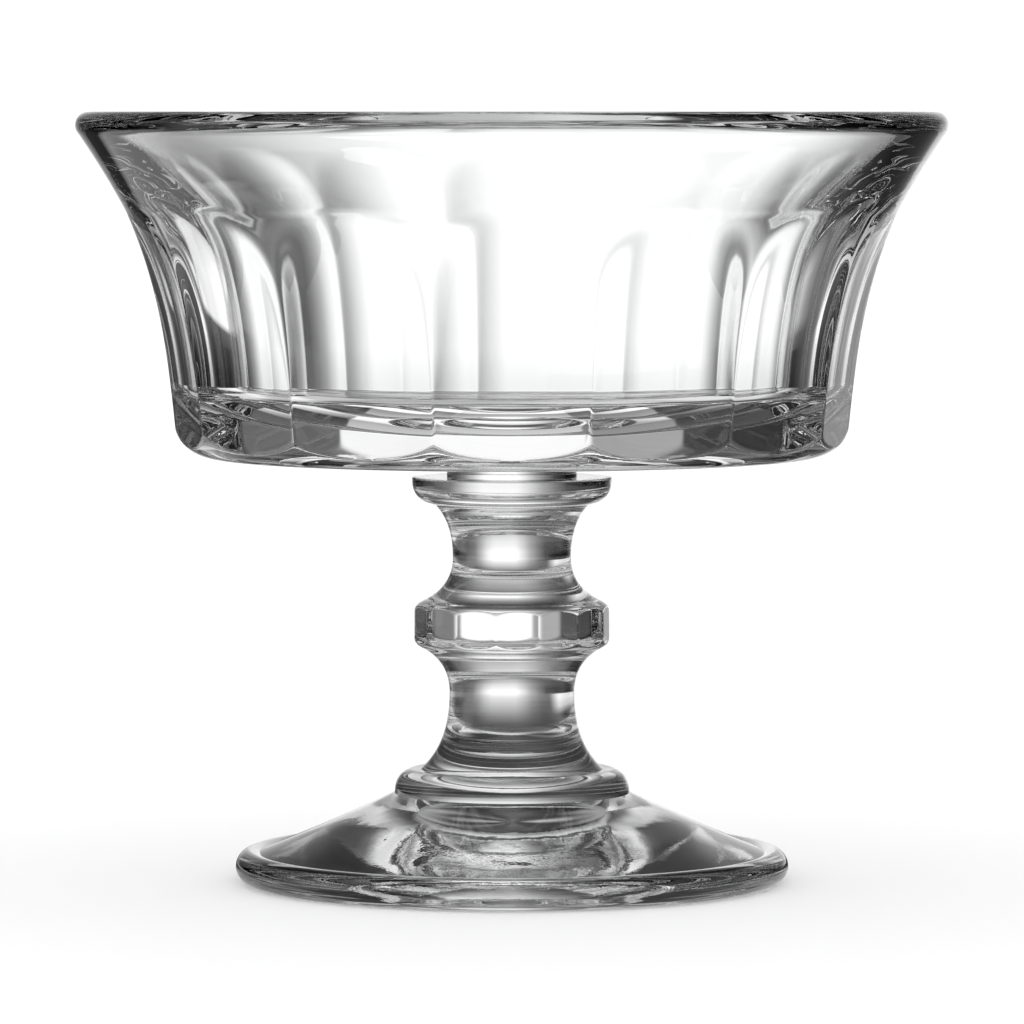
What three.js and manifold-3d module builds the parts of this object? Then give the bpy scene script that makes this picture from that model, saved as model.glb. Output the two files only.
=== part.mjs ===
// Clear pressed-glass ice cream coupe: a panelled bowl, a turned stem and a domed foot.
// The three glass pieces are fused end to end, each flat end seated on the next.
// Millimetres, +Z up along the axis, the foot stands on z = 0 and the front is towards -Y.
import * as THREE from 'three';
import { mergeVertices } from 'three/addons/utils/BufferGeometryUtils.js';
import Module from 'manifold-3d';

// Stacking heights
const footHeight = 15.6;          // table to the flat top of the foot's collar
const stemHeight = 40.4;          // collar to the flat top of the flange
const bossHeight = 2.8;           // neck of glass between the flange and the bowl
const bowlHeight = 47.5;          // underside of the bowl to the rim

// Bowl, heights measured up from its underside
const rimRadius = 60;             // widest point of the lip
const lipRadius = 1.85;           // the lip is a full round
const flareAngle = 31.4;          // outer wall under the lip, degrees off the axis
const flareFoot = 33.66;          // where the flare meets the curved wall
const flareSag = 0.22;            // the flare is slightly hollow
const bellyRadius = 46.85;        // outer wall at the base
const bellyHandle = 21.4;         // height of the point that bends the wall outwards
const bellyLean = 0.9;            // how far that point stands outside the base
const cornerRadius = 5.8;         // rounded lower corner
const floorThickness = 8.9;       // solid glass base, at the edge of its floor
const floorDish = 4;              // the floor sinks this far towards the middle
const innerRadius = 39.4;         // inner wall just over the floor
const innerCorner = 2.2;          // rounding between the floor and the inner wall
const innerAngle = 38.5;          // inner wall under the lip, degrees off the axis
const innerBend = 36;             // where that straight wall starts to bend upright
const innerLean = 0.6;            // how far its bending point stands outside the inner base
const bossRadius = 9;
const bossCove = 1.6;             // hollow rounding between the neck and the underside

// Flat panels pressed into the bowl, with arched tops and ridges between them
const panelCount = 14;
const panelTop = 34.35;           // top of the arches
const ridgeCut = 0.18;            // the ridges lie this far inside the round wall
const panelLowHandle = 11.8;      // the two points that bend a panel's profile:
const panelLowLean = 1.15;        // over its foot,
const panelHighHandle = 5.7;      // and under its top
const panelHighLean = 3.4;

// Stem, heights measured up from the collar
const stemBaseRadius = 12.6;
const lowerWaistRadius = 8.63;
const lowerWaistHeight = 10.6;
const knopRadius = 13.5;
const knopHeight = 20;            // middle of the knop
const knopBand = 3.7;             // straight part of the knop's side
const knopRise = 1.45;            // rounding over and under that band
const knopEdgeRadius = 12.2;      // where the rounding runs into the waists
const upperWaistRadius = 8.2;
const upperWaistHeight = 29.25;
const flangeRadius = 13.8;
const flangeEdge = 0.5;           // straight edge of the flange
const flangeDepth = 3.8;          // from the crease under the flange to its top
const creaseRadius = 10.7;
const facetTurn = 3.5;            // the knop's facets are turned from the panels, degrees

// Foot
const collarRadius = 16.2;
const collarTopRadius = 13.9;
const collarDepth = 3.3;          // rounded collar over the cone
const beadRadius = 2.2;           // rolled edge
const footRadius = 38.2;          // outside of the rolled edge
const beadJoin = 120;             // where the cone meets the edge, degrees round it
const coneSag = 0.5;              // the cone is slightly hollow
const seatWidth = 2;              // flat ring that the coupe stands on
const hollowStep = 0.5;           // short rise at the inner side of that ring
const hollowRadius = 13.1;        // dome under the middle of the foot
const hollowRim = 6.1;            // height of the dome's edge
const hollowTop = 10.5;           // height of its middle

// Mesh fineness
const sides = panelCount * 4;
const curveSteps = 4;

const glass = { color: 0xeef2f3, roughness: 0.03, metalness: 0 };
const radians = THREE.MathUtils.degToRad;

const wasm = await Module();
wasm.setup();

// A closed three.js geometry as a solid for cutting.
function solidOf(geometry) {
  const bare = geometry.clone();
  bare.deleteAttribute('normal');
  bare.deleteAttribute('uv');
  const merged = mergeVertices(bare, 1e-4);
  const index = merged.index.array;
  const triangles = [];
  for (let i = 0; i < index.length; i += 3) {
    const [a, b, c] = index.slice(i, i + 3);
    if (a !== b && b !== c && c !== a) triangles.push(a, b, c);
  }
  return new wasm.Manifold(new wasm.Mesh({
    numProp: 3,
    vertProperties: new Float32Array(merged.attributes.position.array),
    triVerts: new Uint32Array(triangles),
  }));
}

function geometryOf(solid) {
  const mesh = solid.getMesh();
  const geometry = new THREE.BufferGeometry();
  geometry.setAttribute('position', new THREE.BufferAttribute(mesh.vertProperties, 3));
  geometry.setIndex(new THREE.BufferAttribute(mesh.triVerts, 1));
  geometry.computeVertexNormals();
  return geometry;
}

// A profile (x = radius, y = height) turned round +Z.
function turned(profile) {
  const geometry = new THREE.LatheGeometry(profile.getPoints(curveSteps), sides);
  return geometry.rotateX(Math.PI / 2);
}

// Outer and inner flare of the bowl touch the round lip along these two angles.
const underside = bossHeight;
const lipCentre = new THREE.Vector2(rimRadius - lipRadius, underside + bowlHeight - lipRadius);
const lipStart = -radians(flareAngle);
const lipEnd = Math.PI - radians(innerAngle);

function lipPoint(angle) {
  return new THREE.Vector2(Math.cos(angle), Math.sin(angle)).multiplyScalar(lipRadius).add(lipCentre);
}

// Radius, at a height, of a straight wall that runs down from a point on the lip.
function wallRadius(top, angle, height) {
  return top.x - (top.y - height) * Math.tan(radians(angle));
}

const flareTop = lipPoint(lipStart);
const flareEnd = new THREE.Vector2(
  wallRadius(flareTop, flareAngle, underside + flareFoot), underside + flareFoot);

function bowlProfile() {
  const path = new THREE.Path();
  const floor = underside + floorThickness;
  const inner = lipPoint(lipEnd);
  const bend = new THREE.Vector2(
    wallRadius(inner, innerAngle, underside + innerBend), underside + innerBend);
  const bendRadius = innerRadius + innerLean;
  const bendHeight = bend.y - (bend.x - bendRadius) / Math.tan(radians(innerAngle));
  const flareMiddle = flareEnd.clone().add(flareTop).multiplyScalar(0.5);
  path.moveTo(0, 0);
  path.lineTo(bossRadius, 0);
  path.lineTo(bossRadius, underside - bossCove);
  path.quadraticCurveTo(bossRadius, underside, bossRadius + bossCove, underside);
  path.absarc(bellyRadius - cornerRadius, underside + cornerRadius, cornerRadius, -Math.PI / 2, 0);
  path.quadraticCurveTo(
    bellyRadius + bellyLean, underside + bellyHandle, flareEnd.x, flareEnd.y);
  path.quadraticCurveTo(flareMiddle.x - 2 * flareSag, flareMiddle.y, flareTop.x, flareTop.y);
  path.absarc(lipCentre.x, lipCentre.y, lipRadius, lipStart, lipEnd);
  path.lineTo(bend.x, bend.y);
  path.quadraticCurveTo(bendRadius, bendHeight, innerRadius, floor + innerCorner);
  const floorEdge = innerRadius - innerCorner;
  const floorSlope = Math.atan(2 * floorDish / floorEdge);
  path.absarc(floorEdge, floor + innerCorner, innerCorner, 0, floorSlope - Math.PI / 2, true);
  path.quadraticCurveTo(floorEdge / 2, floor - floorDish, 0, floor - floorDish);
  return path;
}

// What is pressed away outside one panel, as a block whose inner side is the panel.
function panelCutter() {
  const foot = underside + cornerRadius;
  const top = underside + panelTop;
  const apothem = (bellyRadius - ridgeCut) * Math.cos(Math.PI / panelCount);
  const outside = rimRadius + lipRadius;
  const halfWidth = outside * Math.tan(Math.PI / panelCount);
  const draft = panelLowLean / panelLowHandle;
  const shape = new THREE.Shape();
  shape.moveTo(apothem - draft * cornerRadius, underside);
  shape.lineTo(outside, underside);
  shape.lineTo(outside, top);
  shape.lineTo(wallRadius(flareTop, flareAngle, top), top);
  shape.bezierCurveTo(
    apothem + panelHighLean, top - panelHighHandle,
    apothem + panelLowLean, foot + panelLowHandle,
    apothem, foot);
  const block = new THREE.ExtrudeGeometry(shape, {
    depth: 2 * halfWidth, bevelEnabled: false, curveSegments: 3 * curveSteps,
  });
  return block.translate(0, 0, -halfWidth).rotateX(Math.PI / 2).rotateZ(-Math.PI / 2);
}

function bowl() {
  let solid = solidOf(turned(bowlProfile()));
  for (let i = 0; i < panelCount; i += 1) {
    const block = panelCutter().rotateZ(i * 2 * Math.PI / panelCount);
    solid = solid.subtract(solidOf(block));
  }
  return geometryOf(solid);
}

// Hollow curve between a waist, where the wall is upright, and the edge above or below it.
function cove(path, from, to, waist) {
  const edge = waist === from ? to : from;
  const rise = edge.y - waist.y;
  const nearWaist = new THREE.Vector2(waist.x, waist.y + 0.46 * rise);
  const nearEdge = new THREE.Vector2(waist.x + 0.36 * (edge.x - waist.x), waist.y + 0.79 * rise);
  const [first, second] = waist === from ? [nearWaist, nearEdge] : [nearEdge, nearWaist];
  path.bezierCurveTo(first.x, first.y, second.x, second.y, to.x, to.y);
}

function stemProfile() {
  const base = new THREE.Vector2(stemBaseRadius, 0);
  const lowerWaist = new THREE.Vector2(lowerWaistRadius, lowerWaistHeight);
  const knopLow = new THREE.Vector2(knopEdgeRadius, knopHeight - knopBand / 2 - knopRise);
  const knopHigh = new THREE.Vector2(knopEdgeRadius, knopHeight + knopBand / 2 + knopRise);
  const upperWaist = new THREE.Vector2(upperWaistRadius, upperWaistHeight);
  const crease = new THREE.Vector2(creaseRadius, stemHeight - flangeDepth);
  const path = new THREE.Path();
  path.moveTo(0, 0);
  path.lineTo(base.x, base.y);
  cove(path, base, lowerWaist, lowerWaist);
  cove(path, lowerWaist, knopLow, lowerWaist);
  path.quadraticCurveTo(knopRadius, knopLow.y + 0.4 * knopRise, knopRadius, knopHeight - knopBand / 2);
  path.lineTo(knopRadius, knopHeight + knopBand / 2);
  path.quadraticCurveTo(knopRadius, knopHigh.y - 0.4 * knopRise, knopHigh.x, knopHigh.y);
  cove(path, knopHigh, upperWaist, upperWaist);
  cove(path, upperWaist, crease, upperWaist);
  path.quadraticCurveTo(flangeRadius, crease.y + flangeEdge, flangeRadius, stemHeight - flangeEdge);
  path.lineTo(flangeRadius, stemHeight);
  path.lineTo(0, stemHeight);
  return path;
}

// Ring round the knop whose hole has one flat side for each facet.
function facetRing() {
  const shape = new THREE.Shape();
  shape.absarc(0, 0, knopRadius + knopBand, 0, 2 * Math.PI);
  const hole = new THREE.Path();
  for (let i = 0; i < panelCount; i += 1) {
    const angle = (i + 0.5) * 2 * Math.PI / panelCount - Math.PI / 2 + radians(facetTurn);
    const corner = [knopRadius * Math.cos(angle), knopRadius * Math.sin(angle)];
    if (i === 0) hole.moveTo(...corner);
    else hole.lineTo(...corner);
  }
  hole.closePath();
  shape.holes.push(hole);
  const height = knopBand + 2 * knopRise;
  const ring = new THREE.ExtrudeGeometry(shape, {
    depth: height, bevelEnabled: false, curveSegments: sides,
  });
  return ring.translate(0, 0, knopHeight - height / 2);
}

function stem() {
  return geometryOf(solidOf(turned(stemProfile())).subtract(solidOf(facetRing())));
}

function footProfile() {
  const beadCentre = new THREE.Vector2(footRadius - beadRadius, beadRadius);
  const join = radians(beadJoin);
  const coneFoot = new THREE.Vector2(
    beadCentre.x + beadRadius * Math.cos(join), beadCentre.y + beadRadius * Math.sin(join));
  const coneTop = new THREE.Vector2(collarRadius, footHeight - collarDepth);
  const coneMiddle = coneFoot.clone().add(coneTop).multiplyScalar(0.5);
  const seat = beadCentre.x - seatWidth;
  const path = new THREE.Path();
  path.moveTo(0, hollowTop);
  path.bezierCurveTo(hollowRadius / 2, hollowTop, hollowRadius * 0.85, (hollowTop + hollowRim) / 2,
    hollowRadius, hollowRim);
  path.quadraticCurveTo(hollowRadius * 1.2, hollowRim / 2, seat - hollowStep, hollowStep);
  path.lineTo(seat, 0);
  path.lineTo(beadCentre.x, 0);
  path.absarc(beadCentre.x, beadCentre.y, beadRadius, -Math.PI / 2, join);
  path.quadraticCurveTo(coneMiddle.x, coneMiddle.y - coneSag, coneTop.x, coneTop.y);
  path.quadraticCurveTo(collarRadius, footHeight - collarDepth / 6, collarTopRadius, footHeight);
  path.lineTo(0, footHeight);
  return path;
}

function piece(name, geometry, height) {
  const mesh = new THREE.Mesh(geometry, new THREE.MeshStandardMaterial(glass));
  mesh.name = name;
  mesh.position.z = height;
  return mesh;
}

const coupe = new THREE.Group();
coupe.add(piece('foot', turned(footProfile()), 0));
coupe.add(piece('stem', stem(), footHeight));
coupe.add(piece('bowl', bowl(), footHeight + stemHeight));

export default coupe;
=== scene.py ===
import math
import bpy
import bmesh
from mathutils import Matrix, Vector, geometry, noise


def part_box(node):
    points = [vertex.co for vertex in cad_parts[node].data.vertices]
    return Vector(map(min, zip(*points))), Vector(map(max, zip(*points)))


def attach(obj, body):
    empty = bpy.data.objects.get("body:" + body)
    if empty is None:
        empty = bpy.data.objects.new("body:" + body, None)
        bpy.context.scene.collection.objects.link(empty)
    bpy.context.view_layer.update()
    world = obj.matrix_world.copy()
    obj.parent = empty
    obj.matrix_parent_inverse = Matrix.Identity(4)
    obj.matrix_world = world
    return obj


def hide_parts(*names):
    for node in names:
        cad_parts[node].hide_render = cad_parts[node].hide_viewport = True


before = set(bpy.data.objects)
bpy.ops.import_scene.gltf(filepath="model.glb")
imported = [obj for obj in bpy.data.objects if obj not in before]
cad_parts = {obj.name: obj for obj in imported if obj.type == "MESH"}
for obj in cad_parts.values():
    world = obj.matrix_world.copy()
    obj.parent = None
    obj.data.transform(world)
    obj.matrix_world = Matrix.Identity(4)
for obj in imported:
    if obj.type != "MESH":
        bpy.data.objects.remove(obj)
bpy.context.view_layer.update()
print("frame loaded:", sorted(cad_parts))

mm = 0.001
panelCount = 14
panelStep = 2 * math.pi / panelCount
columnsPerPanel = 24      # the same in every spin, so that the fused faces match
samePoint = 0.0001        # mm within which two points of a profile are one
sameVert = 0.001          # mm within which two vertices are one
touching = 0.01           # mm within which a face lies on a fused plane, or a vertex on the outer wall
sharpAngle = 35           # degrees between faces, past which their edge stays sharp


# camera at the height of the rim, facing the front panel

shot = {"distance": 932.9, "height": 106.3, "aimHeight": 51.1, "lens": 238.1, "sensor": 36, "nearest": 10}


def addCamera():
    data = bpy.data.cameras.new("camera")
    data.lens = shot["lens"]
    data.sensor_width = shot["sensor"]
    data.clip_start = shot["nearest"] * mm
    camera = bpy.data.objects.new("camera", data)
    bpy.context.scene.collection.objects.link(camera)
    camera.location = (0, -shot["distance"] * mm, shot["height"] * mm)
    aim = Vector((0, 0, shot["aimHeight"] * mm)) - camera.location
    camera.rotation_euler = aim.to_track_quat("-Z", "Y").to_euler()
    bpy.context.scene.camera = camera
    print("camera", shot["distance"], "mm in front of the coupe")


addCamera()


# profiles: lists of (radius, height) in mm, turned about the axis

def line(start, end, steps):
    a, b = Vector(start), Vector(end)
    return [a.lerp(b, i / steps) for i in range(steps + 1)]


def curve(start, handleA, handleB, end, steps):
    corners = [Vector(p) for p in (start, handleA, handleB, end)]
    points = geometry.interpolate_bezier(*corners, steps + 1)
    return [Vector((p[0], p[1])) for p in points]


def bow(start, handle, end, steps):      # one handle, as a quadratic curve
    a, h, b = Vector(start), Vector(handle), Vector(end)
    return curve(a, a.lerp(h, 2 / 3), b.lerp(h, 2 / 3), b, steps)


def arc(centre, radius, startAngle, endAngle, steps):      # angles in degrees
    x, y = centre
    angles = [math.radians(startAngle + (endAngle - startAngle) * i / steps) for i in range(steps + 1)]
    return [Vector((x + radius * math.cos(a), y + radius * math.sin(a))) for a in angles]


def joined(*runs):      # a run that starts where the last one ends drops the point they share
    points = list(runs[0])
    for run in runs[1:]:
        points += run[1:] if (run[0] - points[-1]).length < samePoint else run
    return points


def radiusAt(points, height):      # points in rising order
    if height <= points[0][1]:
        return points[0][0]
    for a, b in zip(points, points[1:]):
        if height <= b[1]:
            return a[0] + (b[0] - a[0]) * (height - a[1]) / (b[1] - a[1])
    return points[-1][0]


def turn(points):      # one panel's width is spun, then repeated round the axis
    bm = bmesh.new()
    chain = [bm.verts.new((p[0] * mm, 0, p[1] * mm)) for p in points]
    edges = [bm.edges.new(pair) for pair in zip(chain, chain[1:])]
    axis = {"cent": (0, 0, 0), "axis": (0, 0, 1)}
    bmesh.ops.spin(bm, geom=chain + edges, angle=panelStep, steps=columnsPerPanel, **axis)
    sector = bm.verts[:] + bm.edges[:] + bm.faces[:]
    rest = 2 * math.pi - panelStep
    bmesh.ops.spin(bm, geom=sector, angle=rest, steps=panelCount - 1, use_duplicate=True, **axis)
    bmesh.ops.remove_doubles(bm, verts=bm.verts, dist=sameVert * mm)
    bmesh.ops.recalc_face_normals(bm, faces=bm.faces)
    return bm


# shared by the pieces

fusedIndex = 1        # places in a piece's list of materials, after the clear glass
chilledIndex = 2


def radiusOf(co):      # mm from the axis
    return co.xy.length / mm


def softMin(a, b, rounding):      # the smaller of two radii, with the corner rounded off
    reach = max(rounding - abs(a - b), 0) / rounding
    return min(a, b) - reach * reach * rounding / 4


def smooth(x):
    x = min(max(x, 0), 1)
    return x * x * (3 - 2 * x)


def panelAngle(angle, turned=0):      # angle from the middle of the nearest panel; one faces the camera
    return (angle + math.pi / 2 - turned + panelStep / 2) % panelStep - panelStep / 2


def finishPiece(bm, name, node, materials):
    mesh = bpy.data.meshes.new(name)
    for face in bm.faces:
        face.smooth = True
    bm.to_mesh(mesh)
    bm.free()
    mesh.set_sharp_from_angle(angle=math.radians(sharpAngle))
    for material in materials:
        mesh.materials.append(material)
    piece = bpy.data.objects.new(name, mesh)
    bpy.context.scene.collection.objects.link(piece)
    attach(piece, "root")
    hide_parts(node)
    print(name, len(mesh.polygons), "faces")


# glass, with layers of noise as bump: scale in waves to the metre, depth in mm

glass = {
    "bending": 1.52, "clearTint": (0.985, 0.99, 0.988, 1), "chilledTint": (0.98, 0.986, 0.984, 1),
    "waves": {"scale": 55, "detail": 1.0, "distortion": 0.0, "depth": 0.003},
    "wrinkles": {"scale": 300, "detail": 2.0, "distortion": 0.4, "depth": 0.012},
    "grain": {"scale": 2200, "detail": 1.0, "distortion": 0.0, "depth": 0.004},
}


def newGlass(name):
    material = bpy.data.materials.new(name)
    material.use_nodes = True
    shader = material.node_tree.nodes["Principled BSDF"]
    shader.inputs["IOR"].default_value = glass["bending"]
    shader.inputs["Transmission Weight"].default_value = 1.0
    shader.inputs["Roughness"].default_value = 0.0
    return material, shader


def bumpLayer(tree, layer, under=None):
    place = tree.nodes.new("ShaderNodeTexCoord")
    texture = tree.nodes.new("ShaderNodeTexNoise")
    texture.inputs["Scale"].default_value = layer["scale"]
    texture.inputs["Detail"].default_value = layer["detail"]
    texture.inputs["Distortion"].default_value = layer["distortion"]
    tree.links.new(place.outputs["Object"], texture.inputs["Vector"])
    bump = tree.nodes.new("ShaderNodeBump")
    bump.inputs["Strength"].default_value = 1.0
    bump.inputs["Distance"].default_value = layer["depth"] * mm
    tree.links.new(texture.outputs["Fac"], bump.inputs["Height"])
    if under is not None:
        tree.links.new(under, bump.inputs["Normal"])
    return bump.outputs["Normal"]


def clearGlass():      # slow waves left by pressing
    material, shader = newGlass("clear pressed glass")
    tree = material.node_tree
    shader.inputs["Base Color"].default_value = glass["clearTint"]
    tree.links.new(bumpLayer(tree, glass["waves"]), shader.inputs["Normal"])
    return material


def chilledGlass():      # wrinkled and grainy where the hot glass met the mould
    material, shader = newGlass("chilled foot glass")
    tree = material.node_tree
    shader.inputs["Base Color"].default_value = glass["chilledTint"]
    wrinkled = bumpLayer(tree, glass["wrinkles"])
    tree.links.new(bumpLayer(tree, glass["grain"], wrinkled), shader.inputs["Normal"])
    return material


def fusedGlass():      # the faces where two pieces are fused show nothing
    material, shader = newGlass("fused faces")
    shader.inputs["Alpha"].default_value = 0.0
    return material


clear = clearGlass()
chilled = chilledGlass()
fused = fusedGlass()
print("glass", clear.name, chilled.name, fused.name)


# bowl: heights over its underside, angles in degrees from upright

bowl = {
    "weld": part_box("bowl")[0].z / mm, "rim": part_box("bowl")[1].z / mm, "rimRadius": 60.0, "lipRadius": 1.85,
    "bossRadius": 9.0, "bossHeight": 2.8, "bossCove": 1.6, "corner": 5.8,
    "bellyRadius": 46.85, "bellyHandle": 21.4, "bellyLean": 0.9,
    "flare": 31.4, "flareFoot": 33.66, "flareSag": 0.22,
    "floor": 8.9, "dish": 4.0, "innerRadius": 39.4, "innerCorner": 2.2,
    "innerFlare": 38.5, "innerLean": 0.6, "innerBend": 36.0,
}
bowlRows = {
    "fused": 4, "boss": 4, "bossCove": 10, "under": 10, "corner": 24, "belly": 64, "flare": 24, "lip": 20,
    "innerFlare": 12, "innerWall": 56, "innerCorner": 12, "dish": 30, "panel": 60,
}
panel = {
    "top": 34.35, "ridgeCut": 0.18, "lowHandle": 11.8, "lowLean": 1.15, "highHandle": 5.7, "highLean": 3.4,
    "runOut": (10, 5), "roundTop": 0.3, "roundFoot": 0.07, "ridgeRound": 0.12,
    "gather": 0.8, "gatherOver": 2, "gatherFade": 6,
}


def outerWall(under, lipStart):      # corner, belly and flare, upwards
    b, rows = bowl, bowlRows
    cornerTop = under + b["corner"]
    corner = arc((b["bellyRadius"] - b["corner"], cornerTop), b["corner"], -90, 0, rows["corner"])
    footHeight = under + b["flareFoot"]
    footRadius = lipStart.x - (lipStart.y - footHeight) * math.tan(math.radians(b["flare"]))
    sagged = lipStart.lerp(Vector((footRadius, footHeight)), 0.5) - Vector((2 * b["flareSag"], 0))
    flare = bow((footRadius, footHeight), sagged, lipStart, rows["flare"])
    bellyHandle = (b["bellyRadius"] + b["bellyLean"], under + b["bellyHandle"])
    belly = bow((b["bellyRadius"], cornerTop), bellyHandle, flare[0], rows["belly"])
    return joined(corner, belly, flare)


def innerWall(under, lipEnd):      # flare, wall, corner and dished floor, downwards
    b, rows = bowl, bowlRows
    floorTop = under + b["floor"]
    bend = under + b["innerBend"]
    slope = math.tan(math.radians(b["innerFlare"]))
    bendRadius = lipEnd.x - (lipEnd.y - bend) * slope
    handleRadius = b["innerRadius"] + b["innerLean"]
    handle = (handleRadius, bend - (bendRadius - handleRadius) / slope)
    cornerTop = floorTop + b["innerCorner"]
    flare = line(lipEnd, (bendRadius, bend), rows["innerFlare"])
    wall = bow((bendRadius, bend), handle, (b["innerRadius"], cornerTop), rows["innerWall"])
    dishAngle = math.degrees(math.atan(2 * b["dish"] / b["innerRadius"]))
    cornerCentre = (b["innerRadius"] - b["innerCorner"], cornerTop)
    corner = arc(cornerCentre, b["innerCorner"], 0, dishAngle - 90, rows["innerCorner"])
    dishLow = floorTop - b["dish"]
    dish = bow(corner[-1], (corner[-1].x / 2, dishLow), (0, dishLow), rows["dish"])
    return joined(flare, wall, corner, dish)


def panelFace(under, outer):      # the middle of a panel, from the bowl's underside to the arch
    b = bowl
    cornerTop = under + b["corner"]
    top = under + panel["top"]
    apothem = (b["bellyRadius"] - panel["ridgeCut"]) * math.cos(panelStep / 2)
    topRadius = radiusAt(outer, top)
    low = (apothem + panel["lowLean"], cornerTop + panel["lowHandle"])
    high = (apothem + panel["highLean"], top - panel["highHandle"])
    face = curve((apothem, cornerTop), low, high, (topRadius, top), bowlRows["panel"])
    draft = panel["lowLean"] / panel["lowHandle"]
    face.insert(0, Vector((apothem - draft * b["corner"], under)))      # the lean runs on into the corner
    face.append(Vector((topRadius, top)) + Vector(panel["runOut"]))      # and out of the wall above the arch
    return face


def bowlProfiles():
    b, rows = bowl, bowlRows
    under = b["weld"] + b["bossHeight"]
    lip = (b["rimRadius"] - b["lipRadius"], b["rim"] - b["lipRadius"])
    lipRound = arc(lip, b["lipRadius"], -b["flare"], 180 - b["innerFlare"], rows["lip"])
    outer = outerWall(under, lipRound[0])
    bossEdge = (b["bossRadius"], b["weld"])
    coveLow = (b["bossRadius"], under - b["bossCove"])
    coveEnd = (b["bossRadius"] + b["bossCove"], under)
    profile = joined(
        line((0, b["weld"]), bossEdge, rows["fused"]),
        line(bossEdge, coveLow, rows["boss"]),
        bow(coveLow, (b["bossRadius"], under), coveEnd, rows["bossCove"]),
        line(coveEnd, outer[0], rows["under"]),
        outer, lipRound, innerWall(under, lipRound[-1]))
    return profile, outer, panelFace(under, outer)


def pressVert(vert, flat, rounding, gather):      # columns gather at the ridges, then move in to the panel
    radius = radiusOf(vert.co)
    turned = math.atan2(vert.co.y, vert.co.x)
    angle = panelAngle(turned)
    shift = gather * math.sin(2 * math.pi * angle / panelStep) * panelStep / (2 * math.pi)
    turned += shift
    angle = abs(angle + shift)
    vert.co.xy = (radius * mm * math.cos(turned), radius * mm * math.sin(turned))
    ridge = softMin(flat / math.cos(angle), flat / math.cos(panelStep - angle), panel["ridgeRound"])
    vert.co.xy *= softMin(radius, ridge, rounding) / radius


def pressPanels(bm, outer, face):
    under, top = outer[0].y, face[-2].y
    end = top + panel["gatherOver"]
    rows = {}
    for vert in bm.verts:
        rows.setdefault(round(vert.co.z / mm, 4), []).append(vert)
    for height, verts in rows.items():
        if height <= under or height > end:
            continue
        wall, flat = radiusAt(outer, height), radiusAt(face, height)
        share = smooth((height - under) / (top - under))
        rounding = panel["roundFoot"] + (panel["roundTop"] - panel["roundFoot"]) * share
        fade = smooth((height - under) / bowl["corner"]) * smooth((end - height) / panel["gatherFade"])
        for vert in verts:
            if radiusOf(vert.co) > wall - touching:
                pressVert(vert, flat, rounding, panel["gather"] * fade)


def addBowl():
    profile, outer, face = bowlProfiles()
    bm = turn(profile)
    pressPanels(bm, outer, face)
    for f in bm.faces:
        if max(v.co.z for v in f.verts) / mm < bowl["weld"] + touching:
            f.material_index = fusedIndex
    finishPiece(bm, "bowl_glass", "bowl", [clear, fused])


# stem: each waist as its radius and its height over the base, the cove's handles as shares of its size

stem = {
    "base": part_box("stem")[0].z / mm, "top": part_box("stem")[1].z / mm, "baseRadius": 12.6,
    "lowerWaist": (8.63, 10.6), "upperWaist": (8.2, 29.25),
    "coveLow": 0.46, "coveOut": 0.36, "coveHigh": 0.79,
    "knopRadius": 13.5, "knopHeight": 20.0, "knopBand": 3.7, "knopRise": 1.45, "knopEdge": 12.2,
    "knopHandle": 0.4, "facetTurn": 3.5, "facetRounding": 0.08, "facetProud": 0.02,
    "creaseRadius": 10.7, "flangeDepth": 3.8, "flangeRadius": 13.8, "flangeEdge": 0.5, "flangeRound": 0.15,
}
stemRows = {
    "fused": 4, "baseCove": 28, "cove": 24, "knopRound": 14, "knopBand": 8, "flange": 20, "flangeSide": 2,
    "flangeRound": 4, "flangeTop": 6,
}


def cove(waist, edge, steps):      # hollow curve from a waist to the edge over or under it
    out, rise = edge[0] - waist[0], edge[1] - waist[1]
    low = (waist[0], waist[1] + stem["coveLow"] * rise)
    high = (waist[0] + stem["coveOut"] * out, waist[1] + stem["coveHigh"] * rise)
    return curve(waist, low, high, edge, steps)


def stemProfile():
    s, rows = stem, stemRows
    base, top = s["base"], s["top"]
    baseEdge = (s["baseRadius"], base)
    lowerWaist = (s["lowerWaist"][0], base + s["lowerWaist"][1])
    upperWaist = (s["upperWaist"][0], base + s["upperWaist"][1])
    bandLow = base + s["knopHeight"] - s["knopBand"] / 2
    bandHigh = bandLow + s["knopBand"]
    knop, handle = s["knopRadius"], s["knopRise"] * s["knopHandle"]
    knopLow = (s["knopEdge"], bandLow - s["knopRise"])
    knopHigh = (s["knopEdge"], bandHigh + s["knopRise"])
    crease = (s["creaseRadius"], top - s["flangeDepth"])
    edge = (s["flangeRadius"], top - s["flangeEdge"])
    small = s["flangeRound"]
    rounded = arc((s["flangeRadius"] - small, top - small), small, 0, 90, rows["flangeRound"])
    bossEdge = (bowl["bossRadius"], top)
    return joined(
        line((0, base), baseEdge, rows["fused"]),
        cove(lowerWaist, baseEdge, rows["baseCove"])[::-1],
        cove(lowerWaist, knopLow, rows["cove"]),
        bow(knopLow, (knop, knopLow[1] + handle), (knop, bandLow), rows["knopRound"]),
        line((knop, bandLow), (knop, bandHigh), rows["knopBand"]),
        bow((knop, bandHigh), (knop, knopHigh[1] - handle), knopHigh, rows["knopRound"]),
        cove(upperWaist, knopHigh, rows["cove"])[::-1],
        cove(upperWaist, crease, rows["cove"]),
        bow(crease, (s["flangeRadius"], crease[1] + s["flangeEdge"]), edge, rows["flange"]),
        line(edge, (s["flangeRadius"], top - small), rows["flangeSide"]),
        rounded,
        line((s["flangeRadius"] - small, top), bossEdge, rows["flangeTop"]),
        line(bossEdge, (0, top), rows["fused"]))


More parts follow.
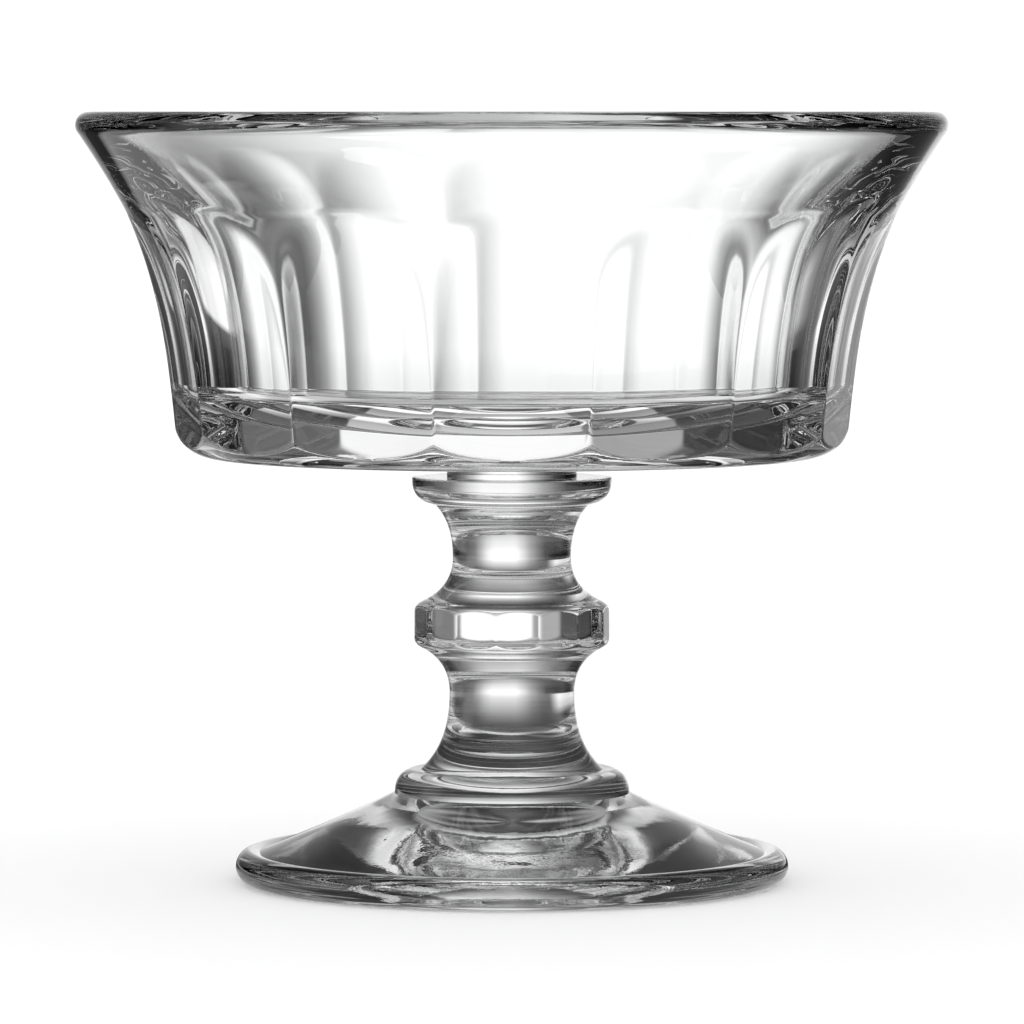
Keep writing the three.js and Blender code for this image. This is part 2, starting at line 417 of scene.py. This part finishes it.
def pressFacets(bm):
    middle = stem["base"] + stem["knopHeight"]
    reach = stem["knopBand"] / 2 + stem["knopRise"]
    apothem = stem["knopRadius"] * math.cos(panelStep / 2)
    for vert in bm.verts:
        if abs(vert.co.z / mm - middle) > reach:
            continue
        radius = radiusOf(vert.co)
        angle = panelAngle(math.atan2(vert.co.y, vert.co.x), math.radians(stem["facetTurn"]))
        facet = apothem / math.cos(angle) + stem["facetProud"]
        vert.co.xy *= softMin(radius, facet, stem["facetRounding"]) / radius


def addStem():
    bm = turn(stemProfile())
    pressFacets(bm)
    for f in bm.faces:
        heights = [v.co.z / mm for v in f.verts]
        widest = max(radiusOf(v.co) for v in f.verts)
        onBase = max(heights) < stem["base"] + touching
        onTop = min(heights) > stem["top"] - touching and widest < bowl["bossRadius"] + touching
        if onBase or onTop:
            f.material_index = fusedIndex
    finishPiece(bm, "stem_glass", "stem", [clear, fused])


# foot: the hollow's handles as shares of its radius, each size of wrinkle with its strength

foot = {
    "top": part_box("foot")[1].z / mm, "radius": 38.2, "bead": 2.2, "beadJoin": 120, "coneSag": 0.5,
    "collarRadius": 16.2, "collarTop": 13.9, "collarDepth": 3.3, "collarHandle": 0.55, "seat": 2.0,
    "hollowStep": 0.5, "hollowRadius": 13.1, "hollowRim": 6.1, "hollowTop": 10.5,
    "domeShoulder": 0.85, "slopeHandle": 1.2, "hollowInset": 0.1, "hollowOver": 0.6,
    "wrinkle": 0.02, "wrinkleSizes": [(4.5, 1.0), (1.9, 0.5)],
}
footRows = {
    "fused": 4, "dome": 26, "slope": 36, "step": 2, "seat": 4, "bead": 36, "cone": 40, "collar": 18,
    "collarTop": 3,
}
downward = {"vert": 0.2, "face": -0.05}      # most that a normal in the hollow points up


def hollowProfile(seat):      # from the top of the dome to the ring that the foot stands on
    f, rows = foot, footRows
    rim = (f["hollowRadius"], f["hollowRim"])
    shoulder = (f["hollowRadius"] * f["domeShoulder"], (f["hollowTop"] + f["hollowRim"]) / 2)
    dome = curve((0, f["hollowTop"]), (f["hollowRadius"] / 2, f["hollowTop"]), shoulder, rim, rows["dome"])
    slopeHandle = (f["hollowRadius"] * f["slopeHandle"], f["hollowRim"] / 2)
    slope = bow(dome[-1], slopeHandle, (seat - f["hollowStep"], f["hollowStep"]), rows["slope"])
    return joined(dome, slope, line(slope[-1], (seat, 0), rows["step"]))


def footProfile():
    f, rows = foot, footRows
    bead = (f["radius"] - f["bead"], f["bead"])
    seat = bead[0] - f["seat"]
    beadRound = arc(bead, f["bead"], -90, f["beadJoin"], rows["bead"])
    coneTop = Vector((f["collarRadius"], f["top"] - f["collarDepth"]))
    sagged = beadRound[-1].lerp(coneTop, 0.5) - Vector((0, f["coneSag"]))
    collarHandle = (f["collarRadius"], f["top"] - f["collarHandle"])
    collarTop = (f["collarTop"], f["top"])
    stemEdge = (stem["baseRadius"], f["top"])
    return joined(
        hollowProfile(seat),
        line((seat, 0), (bead[0], 0), rows["seat"]),
        beadRound,
        bow(beadRound[-1], sagged, coneTop, rows["cone"]),
        bow(coneTop, collarHandle, collarTop, rows["collar"]),
        line(collarTop, stemEdge, rows["collarTop"]),
        line(stemEdge, (0, f["top"]), rows["fused"]))


def inHollow(co):
    edge = foot["radius"] - foot["bead"] - foot["seat"] - foot["hollowInset"]
    return radiusOf(co) < edge and co.z / mm < foot["hollowTop"] + foot["hollowOver"]


def addFoot():
    bm = turn(footProfile())
    hollow = [v for v in bm.verts if inHollow(v.co) and v.normal.z < downward["vert"]]
    for f in bm.faces:
        middle = f.calc_center_median()
        onTop = min(v.co.z for v in f.verts) / mm > foot["top"] - touching
        if onTop and radiusOf(middle) < stem["baseRadius"]:
            f.material_index = fusedIndex
        elif f.normal.z < downward["face"] and inHollow(middle):
            f.material_index = chilledIndex
    for v in hollow:      # shallow wrinkles in the underside
        ripple = sum(strength * noise.noise(v.co / (size * mm)) for size, strength in foot["wrinkleSizes"])
        v.co.z += foot["wrinkle"] * ripple * mm
    finishPiece(bm, "foot_glass", "foot", [clear, fused, chilled])


addBowl()
addStem()
addFoot()


# floor and studio: white to the eye, with soft lit parts in the sky and painted glow on the floor around the
# coupe, for the glass to bend

studio = {
    "floorRadius": 600, "floorSides": 128, "floorDrop": 0.05, "floorTone": 0.92,
    "skyLevel": 1.15, "bounces": 10,
}

# each part has tones by degrees around the coupe, 0 behind it and more to the right,
# times tones by degrees of rise in the distance, or by mm from the axis on the floor
strip = {
    "around": [(-35, 0), (-24, 0.05), (-18, 0.2), (-12, 0.45), (-7, 0.85), (-2, 1.2), (12, 1.2), (17, 0.95),
               (22, 0.55), (28, 0.2), (36, 0.1), (60, 0)],
    "rise": [(0, 1), (3, 0.85), (9, 0.65), (17, 0.4), (24, 0.35), (33, 0.2), (45, 0.1), (60, 0)],
    # on the floor, the strip's tones by reach are painted glow that only the glass shows
    "reach": [(0, 0.1), (32, 0), (60, 0.1), (95, 0.3), (130, 0.45), (180, 0.6), (305, 0.8), (480, 1)],
}
wall = {
    "around": [(-180, 0.05), (-125, 0.1), (-108, 0.25), (-100, 0.95), (-84, 0.95), (-74, 0.15), (-60, 0),
               (60, 0), (80, 0.05), (110, 0.2), (130, 0.25), (160, 0.1), (180, 0.05)],
    "rise": [(9, 1), (16, 0.85), (26, 0.4), (40, 0.1)],
}
sky = {
    "around": [(-180, 0.5), (-150, 0.35), (-120, 0.1), (-90, 0), (-50, 0), (-20, 0.15), (0, 0.3), (20, 0.15),
               (50, 0), (80, 0), (100, 0.4), (120, 0.9), (150, 0.9), (180, 0.5)],
    "rise": [(4, 0), (12, 0.5), (25, 0.5), (50, 0.6), (90, 0.7)],
}
# painted glow on the floor, from here to the near parts: bright and dark patches that only the glass shows,
# though the floor is no lamp
floorPaintedGlow = {
    "around": [(-180, 0.75), (-125, 0.7), (-80, 0.65), (-64, 0.25), (-54, 0.05), (-44, 0.05), (-34, 0.2),
               (-20, 0.05), (0, 0), (20, 0), (30, 0.05), (52, 0.05), (64, 0.3), (76, 0.85), (135, 1),
               (165, 0.85), (180, 0.75)],
    "reach": [(0, 0.85), (38, 0.75), (50, 0.55), (82, 0.9), (155, 1), (305, 0.9), (400, 0.3), (600, 0.15)],
}
leftPaintedGlow = {
    "around": [(-84, 0), (-72, 0.85), (-36, 0.85), (-26, 0)],
    "reach": [(70, 0), (110, 0.7), (185, 1), (330, 1), (380, 0)],
}
farLeftPaintedGlow = {
    "around": [(-112, 0), (-104, 0.8), (-88, 0.8), (-80, 0)],
    "reach": [(300, 0), (400, 1)],
}
farRightPaintedGlow = {
    "around": [(100, 0), (112, 0.75), (155, 0.75), (168, 0)],
    "reach": [(300, 0), (400, 1)],
}
nearPaintedGlow = {
    "around": [(-90, 0), (-75, 0.4), (-40, 0.4), (-28, 0), (28, 0), (40, 0.4), (75, 0.4), (90, 0)],
    "reach": [(12, 0), (20, 0.8), (30, 1), (38, 0.8), (46, 0)],
}


def mathNode(tree, operation, *values):
    node = tree.nodes.new("ShaderNodeMath")
    node.operation = operation
    for socket, value in zip(node.inputs, values):
        if isinstance(value, (int, float)):
            socket.default_value = value
        else:
            tree.links.new(value, socket)
    return node.outputs[0]


def tones(tree, value, low, high, stops):      # tone by angle or distance, between low and high
    place = tree.nodes.new("ShaderNodeMapRange")
    place.inputs["From Min"].default_value = low
    place.inputs["From Max"].default_value = high
    tree.links.new(value, place.inputs["Value"])
    ramp = tree.nodes.new("ShaderNodeValToRGB")
    tree.links.new(place.outputs["Result"], ramp.inputs["Fac"])
    elements = ramp.color_ramp.elements
    elements.remove(elements[1])
    for i, (at, tone) in enumerate(stops):
        where = (at - low) / (high - low)
        element = elements.new(where) if i else elements[0]
        element.position = where
        element.color = (tone, tone, tone, 1)
    return ramp.outputs["Color"]


def degreesAround(tree, split):
    return mathNode(tree, "DEGREES", mathNode(tree, "ARCTAN2", split.outputs["X"], split.outputs["Y"]))


def litParts(tree, around, along, parts, key, low, high):      # the tones of all the parts, added up
    total = 0.0
    for part in parts:
        tone = mathNode(tree, "MULTIPLY", tones(tree, around, -180, 180, part["around"]),
                        tones(tree, along, low, high, part[key]))
        total = mathNode(tree, "ADD", total, tone)
    return total


def throughGlass(tree):      # 1 for what shows in the glass, 0 for direct views and light on the floor
    path = tree.nodes.new("ShaderNodeLightPath")
    bent = mathNode(tree, "MAXIMUM", path.outputs["Is Glossy Ray"], path.outputs["Is Transmission Ray"])
    unscattered = mathNode(tree, "LESS_THAN", path.outputs["Diffuse Depth"], 0.5)
    return mathNode(tree, "MULTIPLY", bent, unscattered)


def floorMaterial():      # pale, with painted glow in parts for the glass alone
    material = bpy.data.materials.new("pale floor with painted glow")
    material.use_nodes = True
    tree = material.node_tree
    shader = tree.nodes["Principled BSDF"]
    tone = studio["floorTone"]
    shader.inputs["Base Color"].default_value = (tone, tone, tone, 1)
    shader.inputs["Roughness"].default_value = 1.0
    shader.inputs["Specular IOR Level"].default_value = 0.0
    place = tree.nodes.new("ShaderNodeTexCoord")
    split = tree.nodes.new("ShaderNodeSeparateXYZ")
    tree.links.new(place.outputs["Object"], split.inputs["Vector"])
    length = tree.nodes.new("ShaderNodeVectorMath")
    length.operation = "LENGTH"
    tree.links.new(place.outputs["Object"], length.inputs[0])
    reach = mathNode(tree, "DIVIDE", length.outputs["Value"], mm)
    parts = [strip, floorPaintedGlow, leftPaintedGlow, farLeftPaintedGlow, farRightPaintedGlow, nearPaintedGlow]
    # the floor glows in these painted tones for rays through the glass alone; direct views see the plain pale
    # floor
    glow = tree.nodes.new("ShaderNodeEmission")
    lit = litParts(tree, degreesAround(tree, split), reach, parts, "reach", 0, studio["floorRadius"])
    tree.links.new(lit, glow.inputs["Color"])
    either = tree.nodes.new("ShaderNodeMixShader")
    tree.links.new(throughGlass(tree), either.inputs["Fac"])
    tree.links.new(shader.outputs["BSDF"], either.inputs[1])
    tree.links.new(glow.outputs["Emission"], either.inputs[2])
    tree.links.new(either.outputs["Shader"], tree.nodes["Material Output"].inputs["Surface"])
    return material


def addFloor():
    bm = bmesh.new()
    radius = studio["floorRadius"] * mm
    bmesh.ops.create_circle(bm, cap_ends=True, segments=studio["floorSides"], radius=radius)
    bmesh.ops.translate(bm, verts=bm.verts, vec=(0, 0, -studio["floorDrop"] * mm))
    mesh = bpy.data.meshes.new("floor")
    bm.to_mesh(mesh)
    bm.free()
    mesh.materials.append(floorMaterial())
    floor = bpy.data.objects.new("floor", mesh)
    bpy.context.scene.collection.objects.link(floor)
    print("floor", studio["floorRadius"], "mm around the coupe")


def addStudio():      # a plain white sky, and lit parts for the glass alone
    world = bpy.data.worlds.new("studio")
    bpy.context.scene.world = world
    world.use_nodes = True
    tree = world.node_tree
    place = tree.nodes.new("ShaderNodeTexCoord")
    split = tree.nodes.new("ShaderNodeSeparateXYZ")
    tree.links.new(place.outputs["Generated"], split.inputs["Vector"])
    rise = mathNode(tree, "DEGREES", mathNode(tree, "ARCSINE", split.outputs["Z"]))
    seen = litParts(tree, degreesAround(tree, split), rise, [strip, wall, sky], "rise", -90, 90)
    either = tree.nodes.new("ShaderNodeMix")
    either.inputs["A"].default_value = studio["skyLevel"]
    tree.links.new(throughGlass(tree), either.inputs["Factor"])
    tree.links.new(seen, either.inputs["B"])
    tree.links.new(either.outputs["Result"], tree.nodes["Background"].inputs["Color"])
    print("studio sky at", studio["skyLevel"])


addFloor()
addStudio()

# few bounces, so that long paths inside the glass end dark
scene = bpy.context.scene
scene.view_settings.view_transform = "Standard"
scene.cycles.max_bounces = studio["bounces"]
scene.cycles.transmission_bounces = studio["bounces"]
scene.cycles.glossy_bounces = studio["bounces"]
